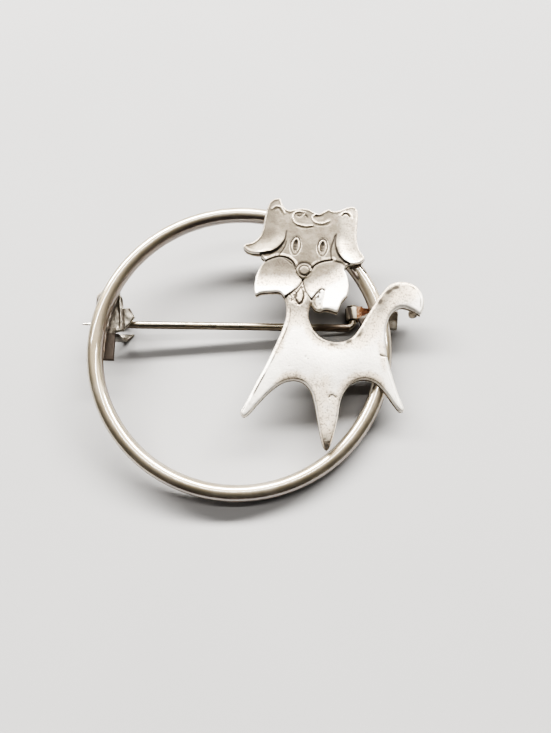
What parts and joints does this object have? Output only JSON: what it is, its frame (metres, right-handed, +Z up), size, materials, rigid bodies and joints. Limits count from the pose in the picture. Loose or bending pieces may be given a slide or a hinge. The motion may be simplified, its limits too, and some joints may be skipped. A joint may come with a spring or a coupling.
{
  "type": "brooch",
  "caption": "Round wire brooch with a flat dog figure, a hinged pin stem and an open hook catch, lying on its back.",
  "frame": {"origin": "bottom centre of the whole brooch's bounding box, on the surface that it lies on", "axes": "+X from the catch towards the hinge, +Y towards the dog's head, +Z up; the ring's plane leans as the brooch rests on the ring wire, the hinge knuckle and the hook"},
  "size_m": [0.0438, 0.038, 0.0072],
  "materials": {
    "silver_metal": "worn silver-coloured metal, satin front and polished ring wire",
    "stem_wire": "drawn wire with a slight brassy tone"
  },
  "bodies": {
    "brooch": {"soldered_brooch": "silver_metal"},
    "pin_stem": {"pin_stem": "stem_wire"}
  },
  "joints": [
    {"name": "pin_hinge", "type": "hinge", "parent": "brooch", "child": "pin_stem", "pos_m": [0.01318, 0.00286, 0.00085], "axis": [-0.0085, -0.9937, -0.1116], "range_deg": [0, 175]}
  ]
}
